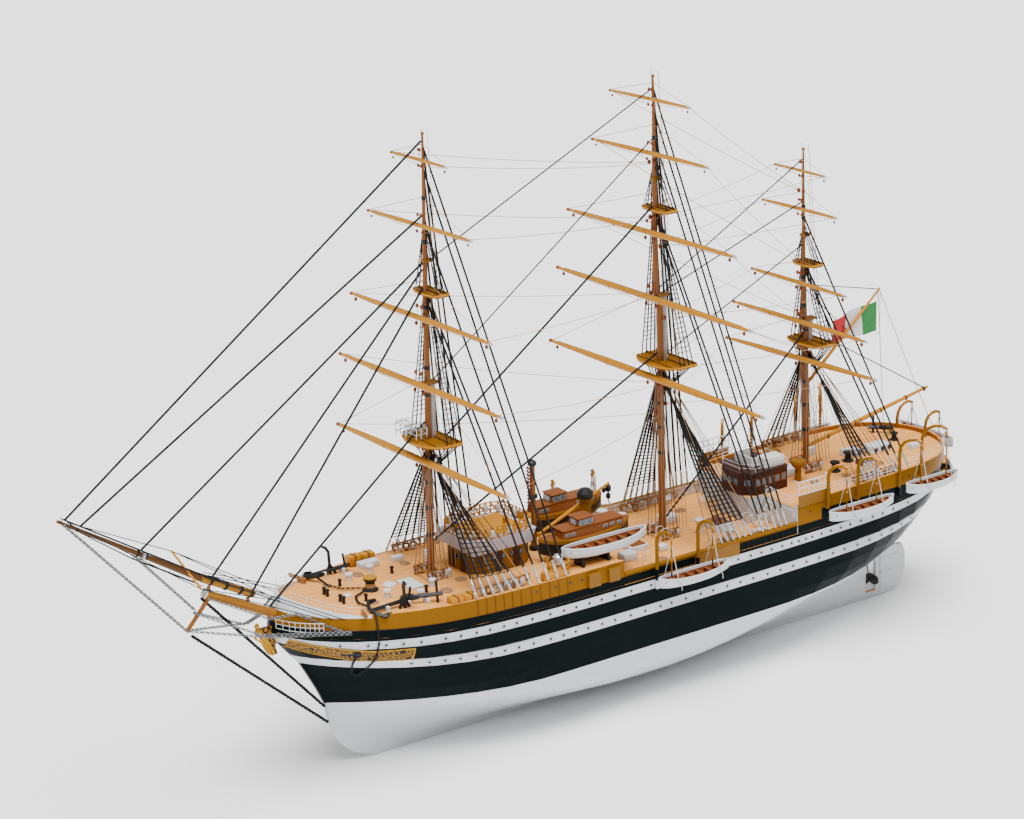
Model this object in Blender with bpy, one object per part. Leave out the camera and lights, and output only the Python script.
"""A display model of a three-masted sail training ship, full rigged, at 1:84.

Every size below is the real ship's, in metres, and is brought down by SCALE
when a mesh is made. +X is forward, +Y is port, +Z is up. The origin lies on
the waterline, on the centreline, amidships.
"""
import math

import bmesh
import bpy
import numpy as np
from mathutils import Matrix, Vector

SCALE = 1 / 84
GAP = 0.0003 / SCALE          # slack between touching pieces
RUNNING_GAP = 0.0006 / SCALE  # slack round a piece that turns

# Hull
HALF_BEAM = 8.0
KEEL_Z = -6.25
FLOOR_Z = -5.8
BILGE_TURN = (1.6, 0.6)  # powers of the section below the water
TUMBLEHOME = 0.05        # narrowing for each metre of height above the lower white stripe
STEM_HALF_WIDTH = 0.22
WAIST_DECK = 7.0
BLACK_TOP = 8.0
BULWARK_TOP = 8.15
FORECASTLE_BREAK = 7.5
POOP_BREAK = -13.4
FORECASTLE_DECK = 9.25
POOP_DECK = 9.5
RIM_WIDTH = 0.24
STEM_PROFILE = ((-6.25, 30.5), (-5.4, 32.6), (-4.0, 34.2), (-1.8, 35.1), (0.0, 35.4), (1.0, 36.0),
                (3.5, 37.9), (5.65, 39.9), (7.0, 40.5), (8.0, 40.1), (9.75, 39.0))
STERN_PROFILE = ((-6.25, -31.2), (-1.2, -31.2), (-0.6, -32.1), (0.0, -33.7), (1.3, -35.6), (3.5, -37.2),
                 (5.65, -37.7), (7.0, -37.7), (9.75, -37.4))
# Level: run-in length, fullness and roundness of the plan at that level
BOW_SHAPE = ((-6.25, (32, 1.3, 1.9)), (-4.0, (28, 1.4, 1.6)), (-2.0, (24, 1.6, 1.3)), (0.0, (20, 1.9, 1.0)),
             (3.5, (19, 2.0, 0.8)), (5.65, (18.5, 2.1, 0.62)), (9.75, (18, 2.2, 0.5)))
STERN_SHAPE = ((-6.25, (34, 1.2, 2.2)), (-4.0, (30, 1.4, 1.7)), (-1.2, (26, 1.8, 1.25)), (0.0, (24, 2.1, 0.95)),
               (3.5, (18, 2.2, 0.7)), (5.65, (18, 3.0, 0.6)), (9.75, (16, 4.3, 0.5)))
HULL_LEVELS = (-6.25, -5.8, -5.6, -5.2, -4.5, -3.5, -2.3, -1.2, 0.0, 1.3, 2.5, 3.5, 4.6, 5.65, 6.3, 7.0)
HULL_STATIONS = 30

# Stern gallery: half width, and the stand-off from the stern at each level, hull first, poop after
GALLERY_HALF_WIDTH = 4.6
GALLERY = ((5.5, 0.04), (5.9, 1.15), (6.5, 1.3), (6.97, 1.0), (7.02, 0.95), (7.5, 0.5))

# Screw and rudder
APERTURE = ((-30.65, -5.6), (-29.25, -2.2))
SCREW_Z = -3.9
SCREW_RADIUS = 1.45
RUDDER_AXIS_X = -31.45
RUDDER_HALF_THICKNESS = 0.2

# Masts: foot x, rake, deck level, how far the upper masts step forward, and the heights of
# top, cap, crosstrees, heel cap and truck
MASTS = {
    "fore": dict(x=23.63, rake=0.022, deck=9.45, step=0.0, top=22.6, cap=27.95, trees=36.1, head=39.2, truck=50.5),
    "main": dict(x=-3.02, rake=-0.005, deck=7.0, step=0.4, top=24.65, cap=31.3, trees=39.5, head=42.3, truck=52.2),
    "mizzen": dict(x=-21.16, rake=-0.010, deck=9.83, step=0.3, top=23.1, cap=25.6, trees=31.1, head=33.0,
                   truck=42.7),
}
LOWER_MAST_RADIUS = {"fore": 0.36, "main": 0.38, "mizzen": 0.31}
# Tops: reach ahead of the mast, reach behind it, and half width
TOPS = {"fore": (1.92, 1.6, 3.1), "main": (1.55, 2.0, 3.1), "mizzen": (1.0, 1.6, 2.5)}

# Shrouds and backstays of each side: x of the foot on the rail, and height of the head on the mast
SHROUDS = {
    "fore": ((23.7, 22.2), (22.77, 21.92), (21.84, 21.64), (20.91, 21.36), (19.98, 21.08), (19.05, 20.8),
             (17.9, 35.8), (16.9, 36.5), (15.9, 42.3), (14.9, 47.3), (13.9, 49.3)),
    "main": ((-4.15, 24.25), (-4.87, 23.97), (-5.59, 23.69), (-6.31, 23.41), (-7.03, 23.13), (-7.75, 22.85),
             (-9.2, 39.2), (-9.95, 39.9), (-10.7, 46.5), (-11.4, 49.0), (-12.1, 51.0)),
    "mizzen": ((-22.4, 22.7), (-23.1, 22.42), (-23.8, 22.14), (-24.5, 21.86),
               (-26.3, 30.8), (-27.2, 31.5), (-28.1, 36.0)),
}
SHROUD_RADIUS = 0.07
SHROUD_INSET = 0.1  # how far the feet stand in from the ship's edge

# Yards, from the lowest up: height, half length, distance ahead of the mast's axis, radius, and
# the tilt in degrees that leaves the port end high
YARDS = {
    "fore": ((20.86, 13.45, 0.95, 0.33, 0), (27.9, 12.62, 1.0, 0.29, 0), (34.0, 10.86, 0.75, 0.25, 0),
             (42.31, 7.93, 0.58, 0.19, 0.5), (48.11, 4.21, 0.45, 0.14, 0)),
    "main": ((23.31, 15.8, 1.02, 0.34, -0.5), (31.13, 14.22, 1.1, 0.3, -0.6), (37.47, 12.23, 0.75, 0.26, 0),
             (44.96, 8.42, 0.58, 0.2, 0), (49.99, 5.79, 0.45, 0.15, 0)),
    "mizzen": ((21.59, 10.81, 0.89, 0.27, 1.35), (25.43, 9.56, 0.98, 0.24, 0), (29.38, 6.75, 0.7, 0.2, -0.6),
               (36.74, 5.29, 0.55, 0.16, 0), (40.51, 3.62, 0.45, 0.12, -0.6)),
}
YARD_NAMES = ("lower_yard", "lower_topsail_yard", "upper_topsail_yard", "topgallant_yard", "royal_yard")
YARD_BRACE = math.radians(2)

# Bowsprit and spanker gear
SPRIT_HEEL = (40.02, 10.08)
SPRIT_CAP = (46.8, 13.7)
SPRIT_RADIUS = 0.42
JIB_BOOM = ((41.9, 12.4), (46.6, 14.9), (59.59, 23.31))
JIB_BOOM_RADII = (0.33, 0.31, 0.14)
SADDLES = (42.5, 46.2)
STRIKER_X = 46.2
STRIKER_FOOT = (48.54, 10.62)
BOOM_JAW = (-21.75, 12.26)
BOOM_END = (-37.52, 15.13)
GAFF_JAW = (-21.8, 18.99)
GAFF_PEAK = (-30.73, 26.89)

# Houses: the port half of each plan, and the roof
DECKHOUSE = ((20.7, 1.6), (19.1, 2.6), (15.1, 2.6), (14.1, 1.9))
DECKHOUSE_TOP = 12.75
WHEELHOUSE_FRONT = -11.4
WHEELHOUSE = ((WHEELHOUSE_FRONT, 1.3), (-12.6, 2.5), (-16.6, 2.5))
WHEELHOUSE_TOP = 11.9

# Deck gear
POST_X = 12.15
POST_TOP = 17.8
POST_RADIUS = 0.31
DERRICK_HEEL_Z = 10.6
DERRICK_TIP = (2.05, -1.8, 13.1)
DERRICK_PIN_RADIUS = 0.2
FUNNEL_X = 6.17

# Boats: middle x, middle y, gunwale height, length, beam, depth
BOAT_ON_DECK = (8.35, 5.9, 11.05, 9.6, 2.3, 1.15)
BOAT_CHOCKS = (8.3, 11.2)
SIDE_BOATS = {
    "gig": (0.7, 9.5, 7.15, 8.2, 2.0, 1.0),
    "quarter_boat": (-20.1, 9.5, 8.85, 8.2, 2.0, 1.0),
    "stern_boat": (-29.4, 9.5, 9.45, 6.8, 1.9, 1.0),
}
JOLLY_BOAT = (-38.75, -1.4, 9.6, 8.2, 1.8, 0.95)
LAUNCHES = {"port": (8.8, 3.35), "starboard": (7.0, -3.35)}
LAUNCH_SIZE = (10.2, 2.6, 1.9)
# Davits of each side boat: x, foot height, height of the bend
DAVITS = {
    "gig": ((3.95, 5.75, 10.6), (-0.9, 5.75, 10.6)),
    "quarter_boat": ((-17.0, 8.5, 12.2), (-20.85, 8.5, 12.2)),
    "stern_boat": ((-26.5, 8.0, 12.6), (-29.7, 9.2, 13.1)),
}
DAVIT_SWING = {"gig": 25, "quarter_boat": 40, "stern_boat": 40}  # degrees aft of square
DAVIT_RADIUS = 0.17
DAVIT_TURN = math.radians(125)
# Davits over the stern: foot x and y, height of the bend, and the head's y
JOLLY_DAVITS = ((-36.4, -3.2, 11.1, -3.5), (-36.7, 0.7, 11.2, 0.6))
FALL_RADIUS = 0.07
LIFTING_BAR_RADIUS = 0.1

STAY_RADIUS = 0.07

COLOURS = {
    "hull_black": (0.012, 0.02, 0.02, 0.4, 0.0),
    "ochre": (0.62, 0.31, 0.03, 0.5, 0.0),
    "white": (0.8, 0.8, 0.79, 0.45, 0.0),
    "spar_wood": (0.42, 0.17, 0.05, 0.5, 0.0),
    "yard_ochre": (0.66, 0.33, 0.04, 0.5, 0.0),
    "dark_wood": (0.14, 0.04, 0.02, 0.5, 0.0),
    "black_rope": (0.01, 0.01, 0.01, 0.8, 0.0),
    "bronze": (0.1, 0.08, 0.06, 0.35, 0.9),
    "gilt": (0.75, 0.48, 0.1, 0.35, 0.8),
}


def clear_scene():
    for thing in list(bpy.data.objects):
        bpy.data.objects.remove(thing)


def material(slot):
    found = bpy.data.materials.get(slot)
    if found:
        return found
    made = bpy.data.materials.new(slot)
    made.use_nodes = True
    shader = made.node_tree.nodes["Principled BSDF"]
    red, green, blue, rough, metal = COLOURS[slot]
    shader.inputs["Base Color"].default_value = (red, green, blue, 1)
    shader.inputs["Roughness"].default_value = rough
    shader.inputs["Metallic"].default_value = metal
    return made


def finish(name, mesh, slot, origin=(0, 0, 0), guide=False):
    """Turn a bmesh in ship metres into a scaled object whose origin is given."""
    bmesh.ops.remove_doubles(mesh, verts=mesh.verts, dist=1e-4)
    bmesh.ops.recalc_face_normals(mesh, faces=mesh.faces)
    bmesh.ops.triangulate(mesh, faces=mesh.faces)
    pivot = Vector(origin)
    for vertex in mesh.verts:
        vertex.co = (vertex.co - pivot) * SCALE
    data = bpy.data.meshes.new(name)
    mesh.to_mesh(data)
    mesh.free()
    data.shade_smooth()
    data.set_sharp_from_angle(angle=math.radians(35))
    data.materials.append(material(slot))
    made = bpy.data.objects.new(name, data)
    made.location = pivot * SCALE
    bpy.context.collection.objects.link(made)
    if guide:
        made.hide_render = True
        made.display_type = "WIRE"
    return made


def boolean(target, tool, operation):
    step = target.modifiers.new(operation.lower(), "BOOLEAN")
    step.operation = operation
    step.object = tool
    step.solver = "EXACT"


def between(table, level):
    """Read a table of levels and values, with smooth curves between its rows."""
    rows = [(z, np.atleast_1d(value)) for z, value in table]
    if level <= rows[0][0]:
        return rows[0][1]
    if level >= rows[-1][0]:
        return rows[-1][1]
    k = max(i for i in range(len(rows) - 1) if rows[i][0] <= level)
    (z0, a), (z1, b) = rows[k], rows[k + 1]

    def slope(i):
        low, high = max(i - 1, 0), min(i + 1, len(rows) - 1)
        return (rows[high][1] - rows[low][1]) / (rows[high][0] - rows[low][0])

    t = (level - z0) / (z1 - z0)
    span = z1 - z0
    return (a * (2 * t ** 3 - 3 * t ** 2 + 1) + b * (3 * t ** 2 - 2 * t ** 3)
            + slope(k) * span * (t ** 3 - 2 * t ** 2 + t) + slope(k + 1) * span * (t ** 3 - t ** 2))


def sheer(x):
    """How far the deck line and the stripes rise above their height amidships."""
    if x > 10:
        return 1.6 * ((x - 10) / 30) ** 2
    if x < -8:
        return 0.7 * ((-8 - x) / 24) ** 2
    return 0.0


def level_height(level, x):
    return level + sheer(x) * min(max(level / 3.5, 0), 1)


def forecastle_deck(x):
    return FORECASTLE_DECK + 1.15 * (max(x - 10, 0) / 30) ** 2


def forecastle_rim(x):
    """The low coaming round the foredeck, which rises to a bulwark round the bow."""
    nose = min(max((x - 34.5) / 4.5, 0), 1)
    return forecastle_deck(x) + 0.15 + 1.05 * nose ** 1.3


def poop_deck(x):
    share = min(max((POOP_BREAK - x) / 24, 0), 1)
    return POOP_DECK + 0.55 * (1 - (1 - share) ** 2)


def poop_rim(x):
    return poop_deck(x) + 0.45


def fade(distance, shape):
    length, fullness, roundness = shape
    share = min(max(distance / length, 0), 1)
    return (1 - (1 - share) ** fullness) ** roundness


def half_breadth(level, x):
    depth = min(max(level / FLOOR_Z, 0), 1)
    widest = HALF_BEAM * (1 - depth ** BILGE_TURN[0]) ** BILGE_TURN[1]
    widest -= TUMBLEHOME * max(level - 3.5, 0)
    bow = between(STEM_PROFILE, level)[0] - x
    stern = x - between(STERN_PROFILE, level)[0]
    full = widest * fade(bow, between(BOW_SHAPE, level)) * fade(stern, between(STERN_SHAPE, level))
    return max(full, STEM_HALF_WIDTH)


def loft(mesh, rings, close=True):
    """Join rings of points into a skin; close caps both ends."""
    grid = [[mesh.verts.new(p) for p in ring] for ring in rings]
    count = len(rings[0])
    for low, high in zip(grid, grid[1:]):
        for i in range(count):
            j = (i + 1) % count
            mesh.faces.new((low[i], low[j], high[j], high[i]))
    if close:
        mesh.faces.new(grid[0])
        mesh.faces.new(list(reversed(grid[-1])))
    return grid


def ladder(mesh, ring):
    """Close a ring whose first half mirrors its second half with cross planks."""
    half = len(ring) // 2
    for i in range(half - 1):
        mesh.faces.new((ring[i], ring[i + 1], ring[-2 - i], ring[-1 - i]))


def plan_outline(level, start, end, stations):
    """The port edge of the plan at a level, with closer points at the ship's own ends."""
    first = between(STERN_PROFILE, level)[0] if start is None else start
    last = between(STEM_PROFILE, level)[0] if end is None else end
    low = 0 if start is None else 0.5
    high = 1 if end is None else 0.5
    points = []
    for i in range(stations):
        turn = low + (high - low) * i / (stations - 1)
        share = math.cos(math.pi * low) - math.cos(math.pi * turn)
        share /= math.cos(math.pi * low) - math.cos(math.pi * high)
        x = first + (last - first) * share
        points.append((x, half_breadth(level, x)))
    return points


def inset(points, width):
    """Move the points of a plan's port edge inward, square to the edge."""
    moved = []
    for i, (x, y) in enumerate(points):
        before, after = points[max(i - 1, 0)], points[min(i + 1, len(points) - 1)]
        run = Vector((after[0] - before[0], after[1] - before[1])).normalized()
        moved.append((x + run.y * width, max(y - run.x * width, 0.02)))
    return moved


def mirrored_block(name, slot, rings, guide=False):
    """Close rings of port points, mirrored to starboard, with cross planks below and above."""
    mesh = bmesh.new()
    grid = loft(mesh, [port + [(x, -y, z) for x, y, z in reversed(port)] for port in rings], close=False)
    ladder(mesh, grid[0])
    ladder(mesh, grid[-1])
    return finish(name, mesh, slot, guide=guide)


def hull_block(name, slot, levels, start, end, stations):
    """A closed block of hull; start and end are x, or None for the ship's own end."""
    rings = []
    for level, height in levels:
        rings.append([(x, y, height(x)) for x, y in plan_outline(level, start, end, stations)])
    return mirrored_block(name, slot, rings)


def deck_well(name, deck, start, end, stations):
    """A guide that sinks a deck inside its rim and runs out past the deck's square end."""
    edge = inset(plan_outline(FORECASTLE_DECK, start, end, stations), RIM_WIDTH)
    if start is not None:
        edge[0] = (edge[0][0] - 1, edge[0][1])
    if end is not None:
        edge[-1] = (edge[-1][0] + 1, edge[-1][1])
    return mirrored_block(name, "white", [[(x, y, deck(x) + rise) for x, y in edge] for rise in (0, 3)], guide=True)


def make_hull():
    levels = [(level, lambda x, z=level: level_height(z, x)) for level in HULL_LEVELS]
    hull = hull_block("hull", "hull_black", levels, None, None, HULL_STATIONS)
    (x0, z0), (x1, z1) = APERTURE
    hole = box_guide("aperture_cutter", (x0, -2, z0), (x1, 2, z1))
    boolean(hull, hole, "DIFFERENCE")
    boolean(hull, gallery("gallery_guide", GALLERY[:4]), "UNION")


def gallery(name, rows):
    """The bulge of the stern gallery: how far it stands off the stern at each level."""
    rings = []
    for level, stand_off in rows:
        edge = [p for p in plan_outline(min(level, WAIST_DECK), None, 0.0, 24) if p[1] < GALLERY_HALF_WIDTH]
        outside = inset(edge, -stand_off)
        inside = inset(edge, 0.5)
        rings.append([(x, y, level_height(level, x)) for x, y in outside + inside[::-1]])
    mesh = bmesh.new()
    whole = []
    for ring in rings:
        half = len(ring) // 2
        outside, inside = ring[:half], ring[half:]
        whole.append([(x, -y, z) for x, y, z in reversed(outside)] + outside + inside
                     + [(x, -y, z) for x, y, z in reversed(inside)])
    loft(mesh, whole)
    return finish(name, mesh, "white", guide=True)


def box_guide(name, low, high):
    mesh = bmesh.new()
    corners = [(x, y, z) for x in (low[0], high[0]) for y in (low[1], high[1]) for z in (low[2], high[2])]
    bmesh.ops.convex_hull(mesh, input=[mesh.verts.new(c) for c in corners])
    return finish(name, mesh, "white", guide=True)


def upper_levels(top):
    """Levels from just above the main deck to a raised deck."""
    return [(WAIST_DECK, lambda x: level_height(WAIST_DECK, x) + GAP),
            (BLACK_TOP, lambda x: level_height(BLACK_TOP, x)),
            (FORECASTLE_DECK, top)]


def make_raised_decks():
    forecastle = hull_block("forecastle", "ochre", upper_levels(forecastle_rim), FORECASTLE_BREAK, None, 18)
    boolean(forecastle, deck_well("foredeck_guide", forecastle_deck, FORECASTLE_BREAK, None, 18), "DIFFERENCE")
    poop = hull_block("poop", "ochre", upper_levels(poop_rim), None, POOP_BREAK, 18)
    boolean(poop, deck_well("poop_deck_guide", poop_deck, None, POOP_BREAK, 18), "DIFFERENCE")
    step = box_guide("poop_front_guide", (POOP_BREAK - 0.5, -2.6, WAIST_DECK + 2 * GAP),
                     (WHEELHOUSE_FRONT - 0.2, 2.6, POOP_DECK + 0.1))
    boolean(poop, step, "UNION")
    boolean(poop, gallery("gallery_head_guide", GALLERY[4:]), "UNION")
    for side in (1, -1):
        add_davits(poop, "quarter_boat", side)
        add_davits(poop, "stern_boat", side)
    for davit in JOLLY_DAVITS:
        add_stern_davit(poop, *davit)


def cane(foot, bend, way, reach):
    """A path up from the foot to the bend, then round and outward over a reach, as a cane's handle."""
    radius = reach / (1 - math.cos(DAVIT_TURN))
    path = [Vector(foot), Vector((foot[0], foot[1], bend))]
    for step in range(1, 6):
        turn = DAVIT_TURN * step / 5
        path.append(path[1] + way * radius * (1 - math.cos(turn)) + Vector((0, 0, radius * math.sin(turn))))
    return path


def davit_path(boat, row, side):
    """One side davit: it stands outside the hull and swings its head aft over the boat."""
    x, foot, bend = row
    near = max(half_breadth(level, x) for level in (5.0, 7.0, 8.0, 9.25)) + DAVIT_RADIUS + GAP
    swing = math.radians(DAVIT_SWING[boat])
    way = Vector((-math.sin(swing), side * math.cos(swing), 0))
    return cane((x, side * near, foot), bend, way, (SIDE_BOATS[boat][1] - near) / math.cos(swing))


def hang_fall(carrier, head, gunwale):
    """The fall, from the davit's head down to the bar that it lifts."""
    lowest = Vector((head.x, head.y, gunwale + LIFTING_BAR_RADIUS + GAP))
    fall = spar("fall_guide", "white", [head + Vector((0, 0, 0.05)), lowest], [FALL_RADIUS] * 2, 6, guide=True)
    boolean(carrier, fall, "UNION")


def add_davits(carrier, boat, side):
    """Two round bars up the ship's side, bent outboard, with the falls that hold a boat."""
    for row in DAVITS[boat]:
        path = davit_path(boat, row, side)
        bar = spar(f"{boat}_davit_guide", "ochre", path, [DAVIT_RADIUS] * len(path), 6, guide=True)
        x, near = path[0].x, path[0].y
        strap_height = (row[1] + level_height(BULWARK_TOP, x)) / 2 + 0.5
        strap = spar(f"{boat}_strap_guide", "ochre", [(x, near - side * 0.6, strap_height), (x, near, strap_height)],
                     [0.12, 0.12], 6, guide=True)
        boolean(carrier, bar, "UNION")
        boolean(carrier, strap, "UNION")
        hang_fall(carrier, path[-1], SIDE_BOATS[boat][2])


def add_stern_davit(carrier, x, y, bend, head_y):
    """A davit on the after deck that reaches over the rail to the boat across the stern."""
    way = Vector((JOLLY_BOAT[0] - x, head_y - y, 0))
    path = cane((x, y, poop_deck(x) - 0.1), bend, way.normalized(), way.length)
    bar = spar("stern_davit_guide", "ochre", path, [DAVIT_RADIUS] * len(path), 6, guide=True)
    boolean(carrier, bar, "UNION")
    hang_fall(carrier, path[-1], JOLLY_BOAT[2])


def make_bulwark(side, label):
    """The waist bulwark with its rail, and the two davits that stand on its outside."""
    aft = POOP_BREAK + GAP
    fore = FORECASTLE_BREAK - GAP
    wall, rail, overhang = 0.26, 0.16, 0.14
    rings = []
    for i in range(9):
        x = aft + (fore - aft) * i / 8
        outer = half_breadth(BLACK_TOP, x)
        low = level_height(WAIST_DECK, x) + GAP
        high = level_height(BULWARK_TOP, x)
        section = ((outer, low), (outer, high - rail), (outer + overhang, high - rail), (outer + overhang, high),
                   (outer - wall - overhang, high), (outer - wall - overhang, high - rail),
                   (outer - wall, high - rail), (outer - wall, low))
        rings.append([(x, side * y, z) for y, z in section])
    mesh = bmesh.new()
    loft(mesh, rings)
    bulwark = finish(f"bulwark_{label}", mesh, "ochre")
    add_davits(bulwark, "gig", side)


def tube(mesh, path, radii, sides, close=True):
    """A round bar along a path of points, mitred at each bend."""
    points = [Vector(p) for p in path]
    rings = []
    side_hint = Vector((0, 1, 0))
    for i, (point, radius) in enumerate(zip(points, radii)):
        before = points[i] - points[i - 1] if i else points[1] - points[0]
        after = points[i + 1] - points[i] if i + 1 < len(points) else before
        along = (before.normalized() + after.normalized()).normalized()
        if abs(along.dot(side_hint)) > 0.9:
            side_hint = Vector((1, 0, 0))
        across = (side_hint - along * side_hint.dot(along)).normalized()
        other = along.cross(across)
        rings.append([point + (across * math.cos(math.tau * k / sides)
                               + other * math.sin(math.tau * k / sides)) * radius for k in range(sides)])
    return loft(mesh, rings, close)


def spar(name, slot, path, radii, sides=8, origin=(0, 0, 0), guide=False):
    mesh = bmesh.new()
    tube(mesh, path, radii, sides)
    return finish(name, mesh, slot, origin, guide)


def mast_point(which, z, ahead=0.0):
    mast = MASTS[which]
    step = mast["step"] if z >= mast["cap"] else 0
    return Vector((mast["x"] - mast["rake"] * (z - mast["deck"]) + step + ahead, 0, z))


def mast_radius(which, z):
    mast = MASTS[which]
    base = LOWER_MAST_RADIUS[which]
    table = ((mast["deck"], base), (mast["top"], base * 0.86), (mast["cap"], base * 0.78),
             (mast["head"], base * 0.6), (mast["truck"], base * 0.26))
    for (z0, r0), (z1, r1) in zip(table, table[1:]):
        if z <= z1:
            return r0 + (r1 - r0) * max(z - z0, 0) / (z1 - z0)
    return table[-1][1]


def plate(name, outline, low, high, slot="spar_wood"):
    """A flat plate from an outline of x and y, as a guide to be fused."""
    mesh = bmesh.new()
    loft(mesh, [[(x, y, z) for x, y in outline] for z in (low, high)])
    return finish(name, mesh, slot, guide=True)


def platform_outline(centre, front, back, half_width):
    """A top's outline: straight at the back, rounded to the front."""
    points = [(centre.x - back, half_width), (centre.x - back, -half_width)]
    for step in range(7):
        turn = -math.pi / 2 + math.pi * step / 6
        points.append((centre.x + front * math.cos(turn), half_width * math.sin(turn)))
    return points


def rail_foot(which, x, side):
    """Where a shroud comes down: on the rim of a raised deck, or on the rail of the waist."""
    level, height = {"fore": (FORECASTLE_DECK, forecastle_rim(x)),
                     "main": (BLACK_TOP, level_height(BULWARK_TOP, x)),
                     "mizzen": (FORECASTLE_DECK, poop_rim(x))}[which]
    return Vector((x, side * (half_breadth(level, x) - SHROUD_INSET), height + GAP + SHROUD_RADIUS))


def add_shrouds(which, lengths):
    """Straight bars down to both rails, each fused to the length of mast that holds its head."""
    for x, head in SHROUDS[which]:
        carrier = next(length for length, highest in lengths if head < highest)
        for side in (1, -1):
            shroud = spar(f"{which}_shroud_guide", "black_rope", [mast_point(which, head), rail_foot(which, x, side)],
                          [SHROUD_RADIUS] * 2, 6, guide=True)
            boolean(carrier, shroud, "UNION")


def make_mast(which):
    """The three lengths of a mast, with its top and crosstrees, and the shrouds fused to them."""
    mast = MASTS[which]
    deck = {"fore": forecastle_deck, "main": lambda x: level_height(WAIST_DECK, x), "mizzen": poop_deck}[which]
    radius = LOWER_MAST_RADIUS[which]
    foot = max(deck(mast["x"] - radius), deck(mast["x"] + radius)) + GAP
    heights = (foot, mast["top"], mast["cap"] - GAP / 2)
    lower = spar(f"{which}_lower_mast", "spar_wood",
                 [mast_point(which, z) for z in heights], [mast_radius(which, z) for z in heights], 10)
    front, back, half_width = TOPS[which]
    centre = mast_point(which, mast["top"])
    top = plate(f"{which}_top_guide", platform_outline(centre, front, back, half_width),
                mast["top"] - 0.09, mast["top"] + 0.09)
    boolean(lower, top, "UNION")
    heights = (mast["cap"] + GAP / 2, mast["trees"], mast["head"] - GAP / 2)
    middle = spar(f"{which}_topmast", "spar_wood", [mast_point(which, z) for z in heights],
                  [mast_radius(which, z) for z in heights], 10)
    centre = mast_point(which, mast["trees"])
    trees = plate(f"{which}_trees_guide", platform_outline(centre, 0.45, 1.2, half_width * 0.6),
                  mast["trees"] - 0.08, mast["trees"] + 0.08)
    boolean(middle, trees, "UNION")
    heights = (mast["head"] + GAP / 2, mast["truck"] - 0.5, mast["truck"] - 0.3, mast["truck"] - 0.12,
               mast["truck"])
    radii = [mast_radius(which, heights[0]), mast_radius(which, heights[1]), mast_radius(which, heights[1]) * 0.8,
             0.2, 0.12]
    upper = spar(f"{which}_topgallant", "spar_wood", [mast_point(which, z) for z in heights], radii, 8)
    add_shrouds(which, ((lower, mast["cap"]), (middle, mast["head"]), (upper, mast["truck"])))


def make_yards(which):
    """Each yard is a tapered spar with the truss that holds it to its mast."""
    for name, (z, half, ahead, radius, tilt) in zip(YARD_NAMES, YARDS[which]):
        centre = mast_point(which, z, ahead)
        reach = Vector((-math.sin(YARD_BRACE), math.cos(YARD_BRACE), math.tan(math.radians(tilt)))).normalized()
        shares = (-1, -0.97, -0.72, -0.4, 0.4, 0.72, 0.97, 1)
        thick = (0.42, 0.5, 0.74, 1, 1, 0.74, 0.5, 0.42)
        yard = spar(f"{which}_{name}", "yard_ochre", [centre + reach * half * s for s in shares],
                    [radius * t for t in thick])
        near = mast_radius(which, z) + GAP
        truss = spar(f"{which}_{name}_truss", "yard_ochre",
                     [mast_point(which, z, near + 0.02), mast_point(which, z, ahead)], [0.13, 0.13], 6, guide=True)
        boolean(yard, truss, "UNION")


def on_profile(pair, y=0.0):
    return Vector((pair[0], y, pair[1]))


def on_line(points, x):
    """The point of a line in the profile that has a given x."""
    for (x0, z0), (x1, z1) in zip(points, points[1:]):
        if x <= x1:
            break
    return Vector((x, 0, z0 + (z1 - z0) * (x - x0) / (x1 - x0)))


def make_bowsprit():
    """The bowsprit with its striker and two saddles, and the jib boom that the saddles carry."""
    line = (SPRIT_HEEL, SPRIT_CAP)
    sprit = spar("bowsprit", "spar_wood", [on_profile(p) for p in line], [SPRIT_RADIUS, 0.36], 10)
    spar("jib_boom", "yard_ochre", [on_profile(p) for p in JIB_BOOM], JIB_BOOM_RADII, 10)
    slope = (JIB_BOOM[1][1] - JIB_BOOM[0][1]) / (JIB_BOOM[1][0] - JIB_BOOM[0][0])
    for x in SADDLES:
        under = JIB_BOOM_RADII[0] * math.hypot(1, slope) + 0.17 * slope + GAP
        top = on_line(JIB_BOOM, x) - Vector((0, 0, under))
        saddle = spar("saddle_guide", "spar_wood", [on_line(line, x), top], [0.17, 0.17], 6, guide=True)
        boolean(sprit, saddle, "UNION")
    striker = spar("striker_guide", "spar_wood", [on_line(line, STRIKER_X), on_profile(STRIKER_FOOT)],
                   [0.15, 0.09], 6, guide=True)
    boolean(sprit, striker, "UNION")


def stem_x(height):
    """Where the stem stands at a height above the water, with the sheer taken off."""
    rise = sheer(STEM_PROFILE[-2][1])
    return between(STEM_PROFILE, height - rise)[0]


def make_figurehead():
    """A draped figure that leans out under the bowsprit, in front of the stem."""
    heights = (6.35, 6.9, 7.6, 8.3, 8.75, 9.05, 9.3, 9.6)
    radii = (0.2, 0.36, 0.42, 0.38, 0.47, 0.2, 0.27, 0.12)
    leads = (0.17, 0.16, 0.08, 0.15, 0.2, 0.5, 0.5, 0.72)
    spine = [(stem_x(z) + r + GAP + lead, 0, z) for z, r, lead in zip(heights, radii, leads)]
    spar("figurehead", "gilt", spine, radii, 8)


def make_rudder():
    axis = RUDDER_AXIS_X
    thick = RUDDER_HALF_THICKNESS
    outline = [(axis, -1.5), (-33.0, -1.15), (-34.2, -1.2), (-34.65, -2.2), (-34.7, -4.2), (-34.2, -5.4),
               (-32.9, -6.1), (axis, -6.2)]
    mesh = bmesh.new()
    loft(mesh, [[(x, y, z) for x, z in outline] for y in (thick, -thick)])
    blade = finish("rudder", mesh, "white", origin=(axis, 0, -3.8))
    stock = spar("rudder_stock_guide", "white", [(axis, 0, -1.4), (axis, 0, -6.2)], [thick, thick], 12, guide=True)
    boolean(blade, stock, "UNION")


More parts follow.
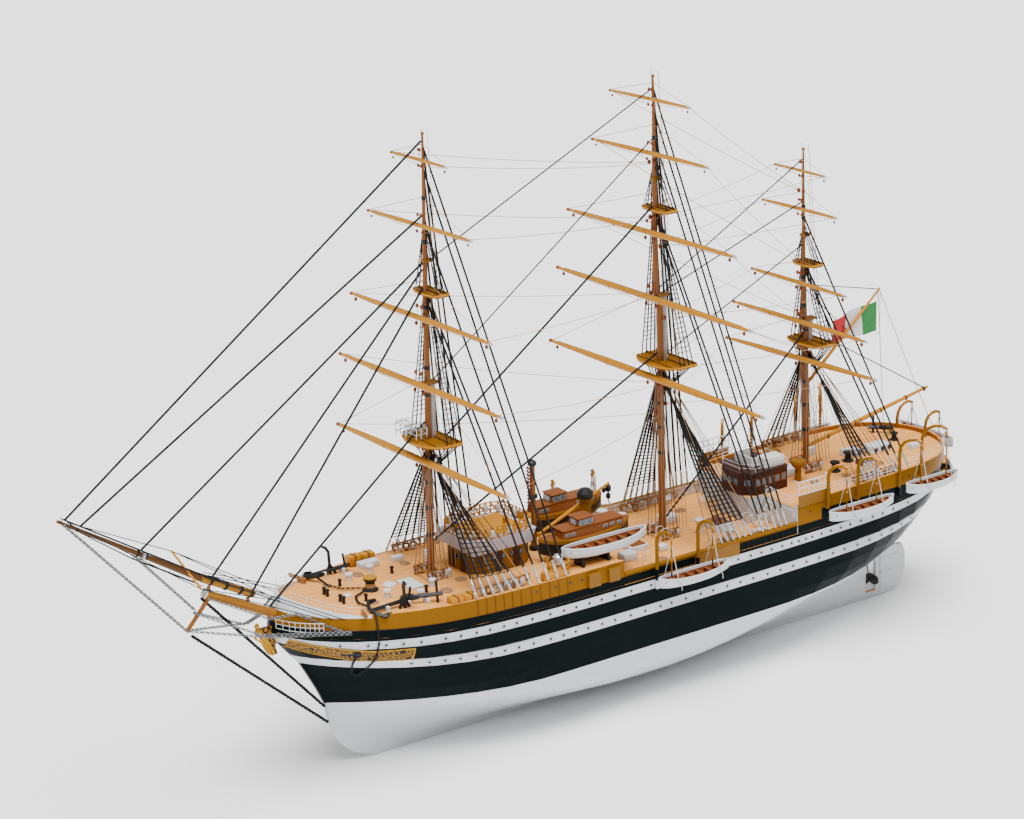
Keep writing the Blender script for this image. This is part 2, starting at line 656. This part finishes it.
def make_screw():
    (_, _), (x1, _) = APERTURE
    centre = Vector((x1 - 0.62, 0, SCREW_Z))
    hub_path = [(x1 - GAP, 0, SCREW_Z), (x1 - 0.3, 0, SCREW_Z), (x1 - 0.95, 0, SCREW_Z), (x1 - 1.25, 0, SCREW_Z)]
    hub = spar("propeller", "bronze", hub_path, [0.26, 0.3, 0.26, 0.1], 10, origin=tuple(centre))
    for blade in range(3):
        mesh = bmesh.new()
        rings = []
        for reach, chord, pitch in ((0.17, 0.45, 62), (0.7, 0.95, 38), (1.15, 0.85, 26), (SCREW_RADIUS, 0.25, 20)):
            lean = math.radians(pitch)
            ring = []
            for u, v in ((-0.5, -0.02), (0, -0.07), (0.5, -0.02), (0.5, 0.02), (0, 0.07), (-0.5, 0.02)):
                sideways = Vector((math.sin(lean), math.cos(lean), 0)) * chord * u
                ring.append(sideways + Vector((math.cos(lean), -math.sin(lean), 0)) * v + Vector((0, 0, reach)))
            rings.append(ring)
        loft(mesh, rings)
        bmesh.ops.rotate(mesh, verts=mesh.verts, cent=(0, 0, 0),
                         matrix=Matrix.Rotation(math.tau * blade / 3 + 0.3, 3, "X"))
        bmesh.ops.translate(mesh, verts=mesh.verts, vec=centre)
        boolean(hub, finish(f"blade_guide_{blade}", mesh, "bronze", guide=True), "UNION")


def hull_curve(share, bluff=2.4):
    return (1 - abs(2 * share - 1) ** bluff) ** 0.7


def boat_rows(length, beam, depth, squeeze=1.0, floor=0.0, stations=9):
    """Rows of points for a small boat's skin, from the bow gunwale round the keel."""
    rows = []
    for i in range(stations):
        share = i / (stations - 1)
        x = (share - 0.5) * length * squeeze
        wide = beam / 2 * hull_curve(share)
        lift = 0.28 * depth * abs(2 * share - 1) ** 2.5
        row = []
        for angle in (90, 55, 25, 0, -25, -55, -90):
            y = wide * math.sin(math.radians(angle)) ** 1 * (1 - 0.08 * (1 - squeeze))
            fall = math.cos(math.radians(angle)) ** 0.75 if abs(angle) < 90 else 0.0
            z = lift - (depth - floor) * fall * (0.75 + 0.25 * hull_curve(share))
            row.append(Vector((x, y, z)))
        rows.append(row)
    return rows


def make_open_boat(name, middle, y, gunwale, length, beam, depth, side=1, across=False):
    """A hollow rowing boat with an even skin, along the ship or across it."""
    outer = boat_rows(length, beam, depth)
    inner = boat_rows(length, beam - 0.32, depth, 0.94, 0.16)
    place = Vector((middle, side * y, gunwale))
    mesh = bmesh.new()
    skins = []
    for rows in (outer, inner):
        if across:
            rows = [[Vector((-p.y, p.x, p.z)) for p in row] for row in rows]
        skins.append([[mesh.verts.new(p + place) for p in row] for row in rows])
        for a, b in zip(skins[-1], skins[-1][1:]):
            for i in range(len(a) - 1):
                mesh.faces.new((a[i], a[i + 1], b[i + 1], b[i]))
    for edge in (0, -1):
        for i in range(len(outer) - 1):
            mesh.faces.new((skins[0][i][edge], skins[0][i + 1][edge], skins[1][i + 1][edge], skins[1][i][edge]))
    return finish(name, mesh, "white")


def cross_bar(boat, centre, reach):
    """A round bar across a boat, made part of it; the fall above takes hold of it."""
    bar = spar("cross_bar_guide", "white", [centre - reach, centre + reach], [LIFTING_BAR_RADIUS] * 2, 6, guide=True)
    boolean(boat, bar, "UNION")


def make_boats():
    boat = make_open_boat("rowing_boat", *BOAT_ON_DECK)
    y, gunwale, depth = BOAT_ON_DECK[1], BOAT_ON_DECK[2], BOAT_ON_DECK[5]
    for x in BOAT_CHOCKS:
        chock = box_guide("chock_guide", (x - 0.15, y - 0.6, forecastle_deck(x) + GAP),
                          (x + 0.15, y + 0.6, gunwale - depth * 0.8))
        boolean(boat, chock, "UNION")
    for name, sizes in SIDE_BOATS.items():
        for side, label in ((1, "port"), (-1, "starboard")):
            middle, y, gunwale, length, beam, depth = sizes
            boat = make_open_boat(f"{name}_{label}", *sizes, side=side)
            for row in DAVITS[name]:
                head = davit_path(name, row, side)[-1]
                inside = beam / 2 * hull_curve((head.x - middle) / length + 0.5) - 0.08
                cross_bar(boat, Vector((head.x, side * y, gunwale)), Vector((0, inside, 0)))
    middle, y, gunwale, length, beam, depth = JOLLY_BOAT
    boat = make_open_boat("jolly_boat", *JOLLY_BOAT, across=True)
    for row in JOLLY_DAVITS:
        inside = beam / 2 * hull_curve((row[3] - y) / length + 0.5) - 0.08
        cross_bar(boat, Vector((middle, row[3], gunwale)), Vector((inside, 0, 0)))


def make_launch(label):
    """A decked motor launch with a long cabin and a raised wheel shelter."""
    middle, y = LAUNCHES[label]
    rows = boat_rows(*LAUNCH_SIZE, stations=11)
    place = Vector((middle, y, FORECASTLE_DECK + LAUNCH_SIZE[2] + 2 * GAP))
    mesh = bmesh.new()
    skin = [[mesh.verts.new(p + place) for p in row] for row in rows]
    for a, b in zip(skin, skin[1:]):
        for i in range(len(a) - 1):
            mesh.faces.new((a[i], a[i + 1], b[i + 1], b[i]))
        mesh.faces.new((a[0], a[-1], b[-1], b[0]))
    launch = finish(f"launch_{label}", mesh, "hull_black")
    for part, low, high, taper in (("cabin", (-4.0, -0.95, 0.0), (3.0, 0.95, 0.95), 0.9),
                                   ("shelter", (-0.6, -0.8, 0.9), (1.2, 0.8, 1.75), 0.92)):
        mesh = bmesh.new()
        rings = []
        for z, share in ((low[2], 1.0), (high[2], taper)):
            rings.append([Vector((x * (0.98 if share < 1 else 1), v * share, z)) + place
                          for x, v in ((low[0], low[1]), (high[0], low[1]), (high[0], high[1]), (low[0], high[1]))])
        loft(mesh, rings)
        boolean(launch, finish(f"{part}_{label}_guide", mesh, "spar_wood", guide=True), "UNION")


def make_houses():
    for name, slot, port, base, top in (
            ("deckhouse", "ochre", DECKHOUSE, forecastle_deck(DECKHOUSE[0][0]), DECKHOUSE_TOP),
            ("wheelhouse", "dark_wood", WHEELHOUSE, poop_deck(WHEELHOUSE[-1][0]), WHEELHOUSE_TOP)):
        outline = list(port) + [(x, -y) for x, y in reversed(port)]
        mesh = bmesh.new()
        loft(mesh, [[(x, y, z) for x, y in outline] for z in (base + GAP, top)])
        finish(name, mesh, slot)


def make_funnel():
    base = level_height(WAIST_DECK, FUNNEL_X) + GAP
    heights = (base, 12.9, 12.95, 13.3, 13.6, 13.95, 13.98)
    radii = (0.55, 0.55, 0.72, 0.78, 0.76, 0.5, 0.3)
    spar("funnel", "ochre", [(FUNNEL_X, 0, z) for z in heights], radii, 12)


def derrick_pivot():
    """The pin at the boom's heel, just clear of the post on the boom's side."""
    away = Vector((DERRICK_TIP[0] - POST_X, DERRICK_TIP[1], 0)).normalized()
    return Vector((POST_X, 0, DERRICK_HEEL_Z)) + away * (POST_RADIUS + DERRICK_PIN_RADIUS + RUNNING_GAP)


def make_derrick():
    """The post, and the boom that tops up about a level pin at its heel."""
    base = forecastle_deck(POST_X) + GAP
    spar("derrick_post", "dark_wood", [(POST_X, 0, base), (POST_X, 0, POST_TOP)], [POST_RADIUS, 0.27], 10)
    pivot, tip = derrick_pivot(), Vector(DERRICK_TIP)
    level = Vector((tip.x - pivot.x, tip.y - pivot.y, 0)).normalized()
    pin = Vector((-level.y, level.x, 0)) * 0.22
    boom = spar("derrick_boom", "ochre", [pivot, pivot.lerp(tip, 0.5), tip], [0.13, 0.19, 0.12], 8,
                origin=tuple(pivot))
    heel = spar("derrick_heel_guide", "ochre", [pivot - pin, pivot + pin], [DERRICK_PIN_RADIUS] * 2, 12, guide=True)
    boolean(boom, heel, "UNION")


def make_spanker_gear():
    """The boom turns about the mizzen mast's own axis; the gaff stays hoisted."""
    for name, jaw, end, radii, slack in (("spanker_boom", BOOM_JAW, BOOM_END, (0.2, 0.24, 0.15), RUNNING_GAP),
                                         ("gaff", GAFF_JAW, GAFF_PEAK, (0.17, 0.18, 0.1), GAP)):
        mast, end = mast_point("mizzen", jaw[1]), on_profile(end)
        rise = (end - on_profile(jaw)).normalized()
        start = mast.copy()
        start.x -= mast_radius("mizzen", jaw[1]) + slack + radii[0] * rise.z
        spar(name, "yard_ochre", [start, start.lerp(end, 0.5), end], radii, 8, origin=tuple(mast))


def line_in_profile(start, end, start_radius, start_axis, end_radius, end_axis):
    """Trim a stay's ends so that each just clears the spar that it is made fast to."""
    run = (end - start).normalized()
    ends = []
    for point, radius, axis, way in ((start, start_radius, start_axis, 1), (end, end_radius, end_axis, -1)):
        along = abs(run.dot(axis.normalized()))
        across = math.sqrt(1 - along * along)
        ends.append(point + run * way * (radius + GAP + STAY_RADIUS * along) / across)
    return ends


def make_stays():
    """The main stays, each from the mast that it holds to the spar or mast ahead."""
    sprit = (SPRIT_HEEL, SPRIT_CAP)

    def on_jib(x):
        inner = x < JIB_BOOM[1][0]
        ends = JIB_BOOM[:2] if inner else JIB_BOOM[1:]
        return on_line(JIB_BOOM, x), JIB_BOOM_RADII[0 if inner else 1], on_profile(ends[1]) - on_profile(ends[0])

    def on_sprit(x):
        return on_line(sprit, x), SPRIT_RADIUS, on_profile(SPRIT_CAP) - on_profile(SPRIT_HEEL)

    def on_mast(which, z):
        return mast_point(which, z), mast_radius(which, z), Vector((0, 0, 1))

    stays = {
        "fore_royal_stay": (on_mast("fore", 49.85), on_jib(59.2)),
        "fore_topgallant_stay": (on_mast("fore", 43.25), on_jib(57.9)),
        "outer_jib_stay": (on_mast("fore", 39.1), on_jib(52.6)),
        "inner_jib_stay": (on_mast("fore", 38.6), on_jib(46.1)),
        "fore_topmast_stay": (on_mast("fore", 37.0), on_jib(42.1)),
        "fore_stay": (on_mast("fore", 24.6), on_sprit(40.8)),
        "main_topmast_stay": (on_mast("main", 40.1), on_mast("fore", 21.1)),
        "main_stay": (on_mast("main", 25.8), on_mast("fore", 12.7)),
        "mizzen_stay": (on_mast("mizzen", 24.4), on_mast("main", 8.5)),
    }
    for name, ((start, r0, axis0), (end, r1, axis1)) in stays.items():
        ends = line_in_profile(start, end, r0, axis0, r1, axis1)
        spar(name, "black_rope", ends, [STAY_RADIUS, STAY_RADIUS], 6)


def build_ship():
    clear_scene()
    make_hull()
    make_raised_decks()
    make_bulwark(1, "port")
    make_bulwark(-1, "starboard")
    for which in MASTS:
        make_mast(which)
        make_yards(which)
    make_bowsprit()
    make_figurehead()
    make_rudder()
    make_screw()
    make_houses()
    make_funnel()
    make_derrick()
    make_spanker_gear()
    for label in LAUNCHES:
        make_launch(label)
    make_boats()
    make_stays()


build_ship()
